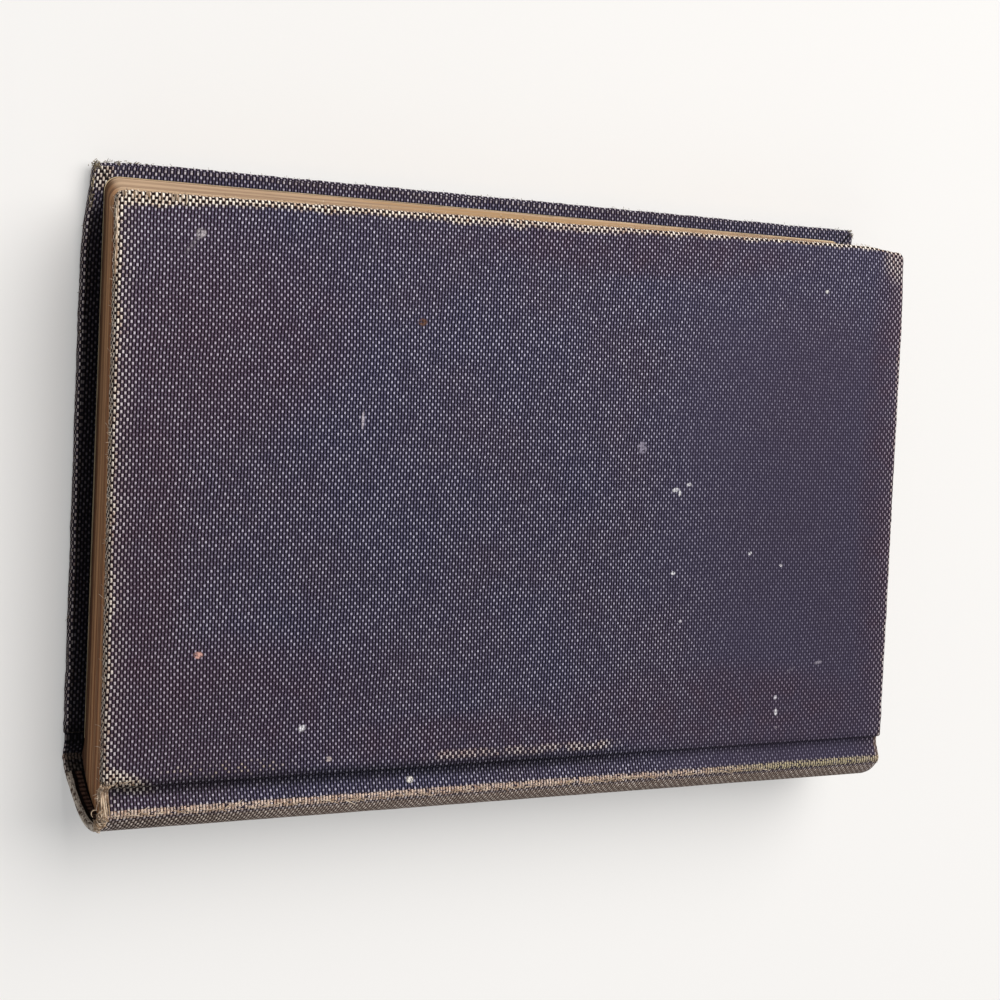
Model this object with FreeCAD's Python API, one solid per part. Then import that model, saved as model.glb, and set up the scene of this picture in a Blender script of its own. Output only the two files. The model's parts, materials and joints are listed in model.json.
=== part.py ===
import FreeCAD, Part
import math
import os

# An old cloth-bound hardback book, lying on its back cover with the front cover up.
# The origin is the middle of the back cover's outside face. X runs along the spine from
# head to tail, Y from the spine to the fore-edge, Z up. All sizes are in millimetres.
# The book has gone cocked: the front cover has slipped towards the spine, and a little
# towards the tail, so every page lies slightly further back than the one below it.

# Case: two boards, the cloth over them, and the joints beside the spine
cover_length = 190.0
cover_width = 115.6
board_thickness = 2.2
cloth_thickness = 0.4
edge_radius = 0.7
corner_radius = 1.6
turn_in = 15.0
joint_width = 5.5
groove_depth = 1.6
groove_floor = 1.3
groove_round = 1.0
hinge_gap = 0.15

# Spine
spine_rise = 6.5
inlay_thickness = 0.6
inlay_margin = 1.6
hollow_gap = 0.5
glue_gap = 0.02

# Book block
page_height = 182.6
block_thickness = 16.3
fore_square = 2.7
fore_edge_hollow = 1.5
page_corner_radius = 3.0
shoulder_rise = 1.4
shoulder_foot = 0.4
lining_thickness = 0.2
lining_margin = 1.0
lining_shoulder_margin = 1.6
mull_thickness = 0.3
mull_margin = 0.7
mull_shoulder_margin = 0.8
mull_flap_width = 22.0

# Endpapers
paper_thickness = 0.15
pastedown_margin = 4.2

# How the front cover has moved against the back cover
front_lean = 5.97
front_slip = 1.26
front_skew = math.radians(0.664)

# Levels, measured up from the table
cover_thickness = board_thickness + 2 * cloth_thickness
block_low = cover_thickness + 2 * paper_thickness
block_high = block_low + block_thickness
book_thickness = block_high + block_low
half_thickness = book_thickness / 2

# Lines across the book, before it leaned
fore_y = cover_width / 2
wall_y = -cover_width / 2
board_y = wall_y + cloth_thickness
ridge_y = wall_y - joint_width
half_length = cover_length / 2
window_x = half_length - turn_in
window_y = fore_y - turn_in
page_fore_y = fore_y - fore_square
half_page = page_height / 2
mull_x = window_x - mull_margin

# The round of the spine is one arc from ridge to ridge, and the layers inside follow it
spine_radius = (half_thickness ** 2 + spine_rise ** 2) / (2 * spine_rise)
spine_centre_y = ridge_y - spine_rise + spine_radius
cloth_inner = spine_radius - cloth_thickness
inlay_outer = cloth_inner - glue_gap
inlay_inner = inlay_outer - inlay_thickness
fold_outer = inlay_inner - glue_gap
fold_inner = fold_outer - cloth_thickness
lining_outer = fold_inner - hollow_gap
lining_inner = lining_outer - lining_thickness
mull_outer = lining_inner - glue_gap
mull_inner = mull_outer - mull_thickness
back_radius = mull_inner - glue_gap
shoulder_half = block_thickness / 2 + shoulder_rise
shoulder_angle = math.asin(shoulder_half / back_radius)
ridge_slip = front_slip - ridge_y * math.sin(front_skew)

# How many points a curve is drawn through, how far apart the sections of a long piece are,
# and how far a cutting box runs past what it cuts
CURVE_POINTS = 13
LONGEST_SPAN = 50.0
PAST = 1.0
Z_AXIS = FreeCAD.Vector(0, 0, 1)


def leaned(x, y, z, slip):
    """A point of the straight book, moved to where the lean has carried it."""
    share = (1 - math.cos(math.pi * z / book_thickness)) / 2
    lean = front_lean - x * math.tan(front_skew)
    return FreeCAD.Vector(x + slip * z / book_thickness, y - lean * share, z)


def curve(points):
    """One smooth edge through the points."""
    spline = Part.BSplineCurve()
    spline.interpolate(points)
    return spline.toShape()


def spread(low, high):
    """Evenly spaced values from low to high, both included."""
    return [low + (high - low) * i / (CURVE_POINTS - 1) for i in range(CURVE_POINTS)]


def arc_point(radius, angle):
    """A point (y, z) on a circle round the spine's centre; angle 0 is the middle of the spine."""
    return spine_centre_y - radius * math.cos(angle), half_thickness + radius * math.sin(angle)


def arc_edge(x, radius, low, high, slip):
    points = [arc_point(radius, angle) for angle in spread(low, high)]
    return curve([leaned(x, y, z, slip) for y, z in points])


def loft(section, x_low, x_high):
    """A solid from one place along the spine to another, through a section every so often."""
    spans = math.ceil((x_high - x_low) / LONGEST_SPAN)
    places = [x_low + (x_high - x_low) * i / spans for i in range(spans + 1)]
    return Part.makeLoft([Part.Wire(section(x)) for x in places], True, True)


def across(half, y_low, y_high, z_low, z_high):
    """A box that is centred along the spine."""
    corner = FreeCAD.Vector(-half, y_low, z_low)
    return Part.makeBox(2 * half, y_high - y_low, z_high - z_low, corner)


# Bent layers of the spine


def arc_limit(radius, reach):
    """The angle at which a circle of this radius meets the line y = reach."""
    return math.acos((spine_centre_y - reach) / radius)


def layer(outer, inner, outer_angle, inner_angle, x_low, x_high, slip):
    """A bent strip between two radii, with its long edges at the given angles."""
    def section(x):
        outside = arc_edge(x, outer, -outer_angle, outer_angle, slip)
        inside = arc_edge(x, inner, -inner_angle, inner_angle, slip)
        low = [leaned(x, *arc_point(r, -a), slip) for r, a in ((outer, outer_angle), (inner, inner_angle))]
        high = [leaned(x, *arc_point(r, a), slip) for r, a in ((outer, outer_angle), (inner, inner_angle))]
        return [outside, Part.makeLine(*high), inside, Part.makeLine(*low)]
    return loft(section, x_low, x_high)


def spine_cloth():
    """The cloth over the spine, folded in round both ends of the inlay."""
    edge = ridge_y - hinge_gap
    outer, inner, fold_top, fold_foot = [
        arc_limit(r, edge) for r in (spine_radius, cloth_inner, fold_outer, fold_inner)]
    inlay_x = half_length - cloth_thickness
    skin = layer(spine_radius, cloth_inner, outer, inner, -inlay_x, inlay_x, ridge_slip)
    pieces = []
    for x_low, x_high in ((-half_length, -inlay_x), (inlay_x, half_length)):
        pieces.append(layer(spine_radius, fold_inner, outer, fold_foot, x_low, x_high, ridge_slip))
    for x_low, x_high in ((-inlay_x, -window_x), (window_x, inlay_x)):
        pieces.append(layer(fold_outer, fold_inner, fold_top, fold_foot, x_low, x_high, ridge_slip))
    return skin.fuse(pieces)


def spine_inlay():
    """The stiff paper strip glued inside the spine cloth."""
    angle = arc_limit(spine_radius, ridge_y) - inlay_margin / spine_radius
    end = half_length - cloth_thickness
    return layer(inlay_outer, inlay_inner, angle, angle, -end, end, ridge_slip)


def mull():
    """The gauze glued over the backs of the sewn pages."""
    angle = shoulder_angle - mull_shoulder_margin / back_radius
    return layer(mull_outer, mull_inner, angle, angle, -mull_x, mull_x, 0)


def back_lining():
    """The paper glued over the gauze."""
    angle = shoulder_angle - lining_shoulder_margin / back_radius
    end = mull_x - lining_margin
    return layer(lining_outer, lining_inner, angle, angle, -end, end, 0)


# Pages


def block_section(x):
    """The end outline of the pages: hollow fore-edge, flat faces, shoulders and round back."""
    def at(y, z):
        return leaned(x, y, z, 0)

    tip_y = spine_centre_y - back_radius * math.cos(shoulder_angle)
    foot_y = wall_y - shoulder_foot
    levels = spread(block_low, block_high)
    hollow = [1 - ((z - half_thickness) / (block_thickness / 2)) ** 2 for z in levels]
    fore = [at(page_fore_y - fore_edge_hollow * h, z) for z, h in zip(levels, hollow)]
    shares = spread(0, 1)
    # The shoulder rises as the square of the way from its foot to its tip
    low = [at(foot_y + (tip_y - foot_y) * s, block_low - shoulder_rise * s ** 2) for s in shares]
    high = [at(foot_y + (tip_y - foot_y) * s, block_high + shoulder_rise * s ** 2) for s in shares]
    back = arc_edge(x, back_radius, -shoulder_angle, shoulder_angle, 0)
    bottom = Part.makeLine(fore[0], low[0])
    top = Part.makeLine(fore[-1], high[0])
    return [bottom, curve(low), back, curve(high), top, curve(fore)]


def text_block():
    """All the pages as one solid, with the corners of the fore-edge rounded by handling."""
    pages = loft(block_section, -half_page, half_page)
    corners = [e for e in pages.Edges if is_page_corner(e)]
    return pages.makeFillet(page_corner_radius, corners)


def is_page_corner(edge):
    """True for the two edges where the fore-edge meets the head and the tail."""
    reach = edge.BoundBox
    return reach.ZLength > block_thickness / 2 and reach.YMin > 0


def flyleaf(z_low):
    """A loose endpaper leaf, cut to the outline of the page it lies on."""
    foot_y = wall_y - shoulder_foot
    level = block_high if z_low > half_thickness else block_low
    plan = ((-half_page, foot_y), (half_page, foot_y), (half_page, page_fore_y), (-half_page, page_fore_y))
    corners = []
    for x, y in plan:
        place = leaned(x, y, level, 0)
        corners.append(FreeCAD.Vector(place.x, place.y, z_low))
    leaf = Part.Face(Part.makePolygon(corners + corners[:1])).extrude(Z_AXIS * paper_thickness)
    upright = [e for e in leaf.Edges if e.BoundBox.ZLength > paper_thickness / 2 and e.BoundBox.YMin > 0]
    return leaf.makeFillet(page_corner_radius, upright)


# Covers, made as the back cover lies: outside face down at z = 0


def plate(inset, corner):
    """A cover-sized plate, drawn in all round by an inset, with round corners at the fore-edge."""
    top = cover_thickness - inset
    blank = across(half_length - inset, wall_y + inset, fore_y - inset, inset, top)
    upright = [e for e in blank.Edges if e.BoundBox.ZLength > board_thickness / 2 and e.BoundBox.YMin > 0]
    return blank.makeFillet(corner, upright)


def board():
    """The stiff millboard inside a cover, cut square at its edges."""
    return plate(cloth_thickness, corner_radius - cloth_thickness)


def joint_strip(half, lift):
    """One thickness of cloth from the ridge down into the groove, up to the board's edge."""
    slope = groove_depth / (joint_width - groove_floor)
    thick = cloth_thickness * math.hypot(1, slope)
    tip_y = ridge_y + hinge_gap
    tip_z = hinge_gap * slope
    floor_y = wall_y - groove_floor
    inner_floor_y = floor_y - (thick - cloth_thickness) / slope
    start = lift * thick / cloth_thickness
    outline = (
        (tip_y, tip_z + start), (floor_y - (start - lift) / slope, groove_depth + lift),
        (board_y, groove_depth + lift), (board_y, groove_depth + lift + cloth_thickness),
        (inner_floor_y - (start - lift) / slope, groove_depth + lift + cloth_thickness),
        (tip_y, tip_z + start + thick),
    )
    corners = [FreeCAD.Vector(-half, y, z) for y, z in outline]
    strip = Part.Face(Part.makePolygon(corners + corners[:1])).extrude(FreeCAD.Vector(2 * half, 0, 0))
    bends = [e for e in strip.Edges if e.BoundBox.XLength > half and is_groove_bend(e)]
    return strip.makeFillet(groove_round, bends)


def is_groove_bend(edge):
    """True for an edge at the foot of the slope that leads from the ridge to the groove's floor."""
    middle = edge.BoundBox.Center
    return ridge_y + joint_width / 2 < middle.y < wall_y - groove_floor / 2


def cover_cloth():
    """The cloth of one cover, wrapped over three edges of the board and down into the joint."""
    outer = plate(0, corner_radius)
    rims = [e for e in outer.Edges if e.BoundBox.ZLength < edge_radius]
    cloth = outer.makeFillet(edge_radius, rims).cut(board())
    floor_z = groove_depth + cloth_thickness
    near = wall_y - PAST
    top = cover_thickness + PAST
    window = across(window_x, near, window_y, cover_thickness - cloth_thickness, top)
    bare_edge = across(window_x, near, board_y, floor_z, top)
    cloth = cloth.cut([window, bare_edge])
    between_folds = across(window_x, ridge_y, board_y, 0, cover_thickness)
    folded = joint_strip(half_length, cloth_thickness).cut(between_folds)
    return cloth.fuse([joint_strip(half_length, 0), folded])


def mull_flap():
    """The part of the gauze that is glued to the board's inside."""
    low = cover_thickness - cloth_thickness
    return across(mull_x, board_y + edge_radius, board_y + mull_flap_width, low, low + mull_thickness)


def pastedown():
    """The endpaper half glued inside a cover: over the turned-in cloth, the gauze and the board."""
    half = half_length - pastedown_margin
    bare = cover_thickness - cloth_thickness
    face = cover_thickness + paper_thickness
    above = face + PAST
    near = board_y + edge_radius
    flap_y = board_y + mull_flap_width
    sheet = across(half, near, fore_y - pastedown_margin, bare, face)
    window = across(window_x, near, window_y, bare, cover_thickness)
    turned = across(half, near, fore_y - pastedown_margin, bare, cover_thickness).cut(window)
    inset = window_x - paper_thickness
    step_y = flap_y + paper_thickness
    on_board = bare + paper_thickness
    well = across(inset, step_y, window_y - paper_thickness, on_board, above)
    over_flap = across(inset, near - PAST, step_y, on_board + mull_thickness, above)
    return sheet.cut([turned, mull_flap(), well, over_flap])


def as_front(shape):
    """Turn a back cover piece into its front one, and carry it to where the front cover lies."""
    upper = shape.mirror(FreeCAD.Vector(0, 0, half_thickness), Z_AXIS)
    place = FreeCAD.Vector(front_slip, -front_lean + ridge_y * (1 - math.cos(front_skew)), 0)
    upper.Placement = FreeCAD.Placement(place, FreeCAD.Rotation(Z_AXIS, math.degrees(front_skew)))
    return upper


def build():
    nodes = {
        "text_block": text_block(),
        "mull": mull(),
        "back_lining": back_lining(),
        "spine_inlay": spine_inlay(),
        "spine_cloth": spine_cloth(),
        "back_flyleaf": flyleaf(block_low - paper_thickness),
        "front_flyleaf": flyleaf(block_high),
    }
    for name, make in (("board", board), ("cover_cloth", cover_cloth),
                       ("mull_flap", mull_flap), ("pastedown", pastedown)):
        piece = make()
        nodes["back_" + name] = piece
        nodes["front_" + name] = as_front(piece)
    return nodes


os.makedirs("parts", exist_ok=True)
for name, shape in build().items():
    shape.exportStep("parts/" + name + ".step")
    size = shape.BoundBox
    print(name, shape.isValid(), len(shape.Solids), round(shape.Volume, 1),
          "x %.2f to %.2f, y %.2f to %.2f, z %.2f to %.2f"
          % (size.XMin, size.XMax, size.YMin, size.YMax, size.ZMin, size.ZMax))
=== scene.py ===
# %% [markdown]
# # An old book in coarse canvas
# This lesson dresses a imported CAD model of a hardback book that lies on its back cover.
# The CAD part gives every size and every hinge. What it can't give is cloth that bends
# round the boards, threads that fray and pages that have been handled for a century, so
# those pieces are made here as surfaces worked out with numpy, and everything gets a
# material made of nodes. Lengths are in millimetres until a mesh is written, because the
# book is easier to think about that way, and Blender gets metres.

# %% Load the frame
import json
import math

import bpy
import numpy as np
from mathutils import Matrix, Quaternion, Vector


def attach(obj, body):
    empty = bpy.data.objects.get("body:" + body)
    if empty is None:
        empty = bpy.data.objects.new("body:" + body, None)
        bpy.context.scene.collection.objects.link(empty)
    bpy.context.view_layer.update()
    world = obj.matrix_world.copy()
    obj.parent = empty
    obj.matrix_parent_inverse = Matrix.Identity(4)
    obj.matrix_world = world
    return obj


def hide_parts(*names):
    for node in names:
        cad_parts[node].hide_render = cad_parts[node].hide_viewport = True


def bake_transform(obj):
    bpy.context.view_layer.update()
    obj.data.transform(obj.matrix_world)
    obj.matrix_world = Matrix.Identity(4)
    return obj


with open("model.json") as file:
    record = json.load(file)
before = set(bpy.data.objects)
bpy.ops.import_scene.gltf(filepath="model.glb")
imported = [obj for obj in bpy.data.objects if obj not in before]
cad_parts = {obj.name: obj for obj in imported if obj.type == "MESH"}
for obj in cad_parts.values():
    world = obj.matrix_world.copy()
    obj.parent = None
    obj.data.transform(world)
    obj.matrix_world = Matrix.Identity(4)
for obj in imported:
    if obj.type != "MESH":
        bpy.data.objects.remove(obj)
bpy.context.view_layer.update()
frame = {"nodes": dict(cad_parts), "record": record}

MM = 0.001

# %% [markdown]
# The camera comes first, because every later step is judged through it. Its place was
# found by fitting a pinhole camera to the edges of the covers. A direction is easier to
# read as a point to aim at, and the roll turns the camera about that line.

# %% Camera
camera_place = Vector((-0.207813, 0.020623, 0.3959))
camera_aim = Vector((-0.009058, -0.007450, 0.0229))
camera_roll = math.radians(99.930)

lens = bpy.data.cameras.new("camera")
lens.lens, lens.sensor_width, lens.clip_start = 72.0, 36.0, 0.01
camera = bpy.data.objects.new("camera", lens)
camera.location = camera_place
camera.rotation_mode = "QUATERNION"
camera.rotation_quaternion = ((camera_aim - camera_place).to_track_quat("-Z", "Y")
                              @ Quaternion((0, 0, 1), camera_roll))
bpy.context.scene.collection.objects.link(camera)
bpy.context.scene.camera = camera
bpy.context.scene.view_settings.view_transform = "Standard"

# %% [markdown]
# ## Sizes of the book
# These are the CAD part's own sizes. The boards are wrapped in cloth, the cloth dips into
# a groove beside each board and rises to a ridge, where the cover turns, and one arc
# joins the two ridges round the spine.

# %% Sizes
half_length, half_width = 95.0, 57.8
cover_thickness, cloth_thickness = 3.0, 0.4
book_thickness = 22.9
half_thickness = book_thickness / 2
ridge_y, groove_depth, groove_floor = -63.3, 1.6, 1.3
turn_in, edge_round, corner_round = 15.0, 0.7, 1.6
spine_rise, spine_wall = 6.5, 1.44
board_foot, board_wall = -57.4, -57.3
front_lean, front_slip, front_skew = 5.97, 1.26, math.radians(0.664)

spine_radius = (half_thickness ** 2 + spine_rise ** 2) / (2 * spine_rise)
spine_centre = ridge_y - spine_rise + spine_radius
ridge_angle = math.asin(half_thickness / spine_radius)
ridge_slip = front_slip - ridge_y * math.sin(front_skew)
print("spine radius", round(spine_radius, 2), "mm, ridge at",
      round(math.degrees(ridge_angle), 1), "degrees")

# %% [markdown]
# ## The lean
# A book that is read for years goes cocked: the front cover slips back over the spine.
# The CAD part leans everything between the covers by a smooth share of that slip, and
# the front cover is carried as one rigid plate. The same two formulas are used here, so
# that the dressed pieces land exactly where the CAD says.


# %% Carry points to their place
def smooth(value, low, high):
    """0 below low, 1 above high, and 3t2 - 2t3 between, where t is the share of the way."""
    share = np.clip((value - low) / (high - low), 0, 1)
    return share * share * (3 - 2 * share)


def leaned(x, y, z, slip=0.0):
    """y goes back by the lean times (1 - cos(pi z / thickness)) / 2, and x on by its slip."""
    share = (1 - np.cos(np.pi * z / book_thickness)) / 2
    lean = front_lean - x * np.tan(front_skew)
    return np.stack((x + slip * z / book_thickness, y - lean * share, z), -1)


def on_front(x, y, depth):
    """A point of the front cover: turned by the skew, slipped, and measured down from the top."""
    cos, sin = math.cos(front_skew), math.sin(front_skew)
    back = front_lean - ridge_y * (1 - cos)
    return np.stack((x * cos - y * sin + front_slip, x * sin + y * cos - back,
                     book_thickness - depth), -1)


def on_back(x, y, depth):
    """A point of the back cover, which lies straight."""
    return np.stack((x, y, depth), -1)


# %% [markdown]
# ## From arrays to objects
# Every new piece ends as one array of points and one of faces. If the volume that the
# faces close comes out negative they point inwards, so they are turned round.


# %% Make an object
def make_piece(name, points, faces, uvs=None, **attributes):
    """An object at the origin from points in millimetres. A face of fewer corners repeats its last."""
    faces = np.asarray(faces)
    a, b, c, d = (points[faces[:, i]] for i in range(4))
    volume = np.sum(np.cross(b - a, c - a) * a) + np.sum(np.cross(c - a, d - a) * a)
    if volume < 0:
        faces = faces[:, ::-1]
        uvs = None if uvs is None else uvs[:, ::-1]
    mesh = bpy.data.meshes.new(name)
    mesh.vertices.add(len(points))
    mesh.vertices.foreach_set("co", (points * MM).astype(np.float32).ravel())
    mesh.loops.add(faces.size)
    mesh.loops.foreach_set("vertex_index", faces.astype(np.int32).ravel())
    mesh.polygons.add(len(faces))
    mesh.polygons.foreach_set("loop_start", np.arange(0, faces.size, 4, dtype=np.int32))
    mesh.polygons.foreach_set("use_smooth", np.ones(len(faces), bool))
    if uvs is not None:
        layer = mesh.uv_layers.new(name="weave")
        layer.data.foreach_set("uv", uvs.astype(np.float32).ravel())
    for key, values in attributes.items():
        field = mesh.attributes.new(key, "FLOAT", "POINT")
        field.data.foreach_set("value", np.asarray(values, np.float32).ravel())
    mesh.update(calc_edges=True)
    mesh.validate()
    piece = bpy.data.objects.new(name, mesh)
    bpy.context.scene.collection.objects.link(piece)
    low, high = points.min(0), points.max(0)
    print(name, "triangles", 2 * len(faces), "from", low.round(1), "to", high.round(1), "mm")
    return piece


def grid_faces(rows, columns):
    """Quads between neighbours of a grid that is stored row by row."""
    index = np.arange(rows * columns).reshape(rows, columns)
    corners = index[:-1, :-1], index[:-1, 1:], index[1:, 1:], index[1:, :-1]
    return np.stack(corners, -1).reshape(-1, 4)


def loop_faces(first, second):
    """Quads between two closed loops of as many points."""
    return np.stack((first, np.roll(first, -1), np.roll(second, -1), second), -1)


def waves(x, y, seed, longest, count=9):
    """A soft random field near -1 to 1: a sum of sine waves of random direction and length."""
    draw = np.random.default_rng(seed)
    turn = draw.uniform(0, 2 * np.pi, count)
    length = longest * draw.uniform(0.25, 1.0, count)
    phase = draw.uniform(0, 2 * np.pi, count)
    total = np.zeros(np.broadcast(x, y).shape)
    for angle, size, start in zip(turn, length, phase):
        total += np.sin(2 * np.pi * (x * np.cos(angle) + y * np.sin(angle)) / size + start)
    return total / math.sqrt(count * 2)


# %% [markdown]
# ## The line that the cloth follows
# Seen from the end, the cloth runs from the fore-edge over the board, down into the
# groove, up to the ridge and round the spine. It is drawn as straight runs and one arc,
# then softened by a moving average weighted like a bell, which rounds each corner by
# about the same radius as cloth does. Three such lines are kept, point for point: the
# outside, the inside of one thickness, and the inside where the cloth is folded in.

# %% Lines across the cloth
LINE_STEP = 0.05
fore_inset = half_width - edge_round


def cloth_line(corners, radius, end_angle, counts, spread):
    """Runs between the corners, then the spine's arc, each with its own count of points."""
    runs = [low + (high - low) * np.linspace(0, 1, n, endpoint=False)[:, None]
            for low, high, n in zip(corners[:-1], corners[1:], counts)]
    angles = np.linspace(-ridge_angle, end_angle, counts[-1])
    arc = np.stack((spine_centre - radius * np.cos(angles), half_thickness + radius * np.sin(angles)), 1)
    line = np.concatenate(runs + [arc])
    reach = int(4 * spread / LINE_STEP)
    bell = np.exp(-0.5 * (np.arange(-reach, reach + 1) * LINE_STEP / spread) ** 2)
    head = 2 * line[0] - line[reach:0:-1]
    tail = 2 * line[-1] - line[-2:-reach - 2:-1]
    long = np.concatenate((head, line, tail))
    return np.stack([np.convolve(long[:, i], bell / bell.sum(), "valid") for i in (0, 1)], 1)


def ridge_start(radius):
    """Where a circle round the spine's centre begins at the ridge, as (y, depth)."""
    return (spine_centre - radius * math.cos(ridge_angle),
            half_thickness - radius * math.sin(ridge_angle))


def cloth_lines(end_angle):
    """Outside, plain inside and folded inside, as matching lines of (y, depth), and the ridge's index."""
    outer = np.array([(fore_inset, 0), (-half_width, 0), (-half_width - 0.1, groove_depth),
                      (-half_width - groove_floor, groove_depth), (ridge_y, 0)])
    plain = np.array([(fore_inset, cover_thickness), (board_wall, cover_thickness), (board_foot, 2.0),
                      (-59.2, 2.0), ridge_start(spine_radius - cloth_thickness)])
    folded = np.array([(fore_inset, cover_thickness), (board_wall, cover_thickness), (board_foot, 2.4),
                       (-59.4, 2.4), ridge_start(spine_radius - spine_wall)])
    counts = [round(float(n)) for n in np.linalg.norm(np.diff(outer, axis=0), axis=1) / LINE_STEP]
    ridge = sum(counts)
    counts.append(round(spine_radius * (end_angle + ridge_angle) / LINE_STEP))
    return (cloth_line(outer, spine_radius, end_angle, counts, 0.42),
            cloth_line(plain, spine_radius - cloth_thickness, end_angle, counts, 0.15),
            cloth_line(folded, spine_radius - spine_wall, end_angle, counts, 0.15), ridge)


def run_length(line):
    """Distance along a line of points."""
    return np.concatenate(([0], np.cumsum(np.linalg.norm(np.diff(line, axis=0), axis=1))))


def spaced(run, spacing):
    """Indices into a line such that neighbours are about the local spacing apart."""
    density = np.concatenate(([0], np.cumsum(np.diff(run) / spacing[1:])))
    count = int(round(density[-1])) + 1
    return np.interp(np.linspace(0, density[-1], count), density, np.arange(len(run)))


# %% [markdown]
# ## The cloth of the case
# The canvas is one closed sheet for each half of the case: an outside grid, an inside
# grid, and rings between their borders that round the edges as turned cloth does. The
# inside steps down where the turned-in cloth ends, and leaves room there for the
# endpaper. The UV map counts millimetres along the threads, so the weave follows the
# cloth round every bend. The two halves meet low on the spine, out of sight. Corners
# and borders come first, because the boards need them too.

# %% Corners and borders
FRONT_DENT = (1, -0.5, -1.1)  # the end of the book, then the push along and across
BACK_DENT = (-1, 1.7, -0.5)
DENT_LONG, DENT_WIDE = 7, 11


def pushed_in(x, y, dent):
    """A corner that was dropped on moves by a bell that is 1 at the tip of the corner."""
    end, along, across = dent
    push = np.exp(-np.hypot((x - end * half_length) / DENT_LONG, (y - half_width) / DENT_WIDE) ** 2)
    return along * push, across * push


def round_corner(x, y, half, fore, radius):
    """Draws a square corner in onto a quarter circle, and gives the way out from its centre."""
    dx, dy = np.abs(x) - (half - radius), y - (fore - radius)
    inside = (dx > 0) & (dy > 0)
    length = np.where(inside, np.hypot(dx, dy), 1)
    pull = np.where(inside, np.maximum(dx, dy) / length - 1, 0)
    return x + np.sign(x) * dx * pull, y + dy * pull, inside, np.sign(x) * dx / length, dy / length


def border_walk(rows, columns):
    """Indices round the border of a grid: first row, last column, last row, first column."""
    index = np.arange(rows * columns).reshape(rows, columns)
    return np.concatenate((index[0, :-1], index[:-1, -1], index[-1, :0:-1], index[:0:-1, 0]))


# %% [markdown]
# A round rim is walked in a few angles: out over the upper edge, down, and back in under
# the lower one. The grid is fine at the joint and the rims, where cloth bends, and coarse
# between.

# %% Build a half of the case cloth
RIM_ANGLES = np.radians([0, 22, 45, 67, 90])
turned_x, turned_y = half_length - turn_in, half_width - turn_in
WINDOW_DROP, SOFT_EDGE = 0.45, 0.3
JOINT_MIDDLE, SIDE_SAMPLES, RIM_SHARE = 3.5, 4001, 0.47
ROW_STEP, ROW_SPREAD, SPINE_STEP = 0.28, 1.1, 0.6
COLUMN_STEP, COLUMN_SPREAD = 0.3, 1.2


def rim_path(thickness, rounding):
    """Share of the way through, push outwards, and length along a round edge, one row each step."""
    sweep = RIM_ANGLES[:, None]
    top = rounding * (1 - np.cos(sweep))
    push = rounding * np.sin(sweep)
    through = np.concatenate((top, (thickness - top)[::-1])) / thickness
    out = np.concatenate((push, push[::-1]))
    length = np.concatenate((rounding * sweep,
                             thickness - 2 * rounding + rounding * (np.pi - sweep[::-1])))
    return through[1:-1], out[1:-1], length[1:-1]


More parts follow.
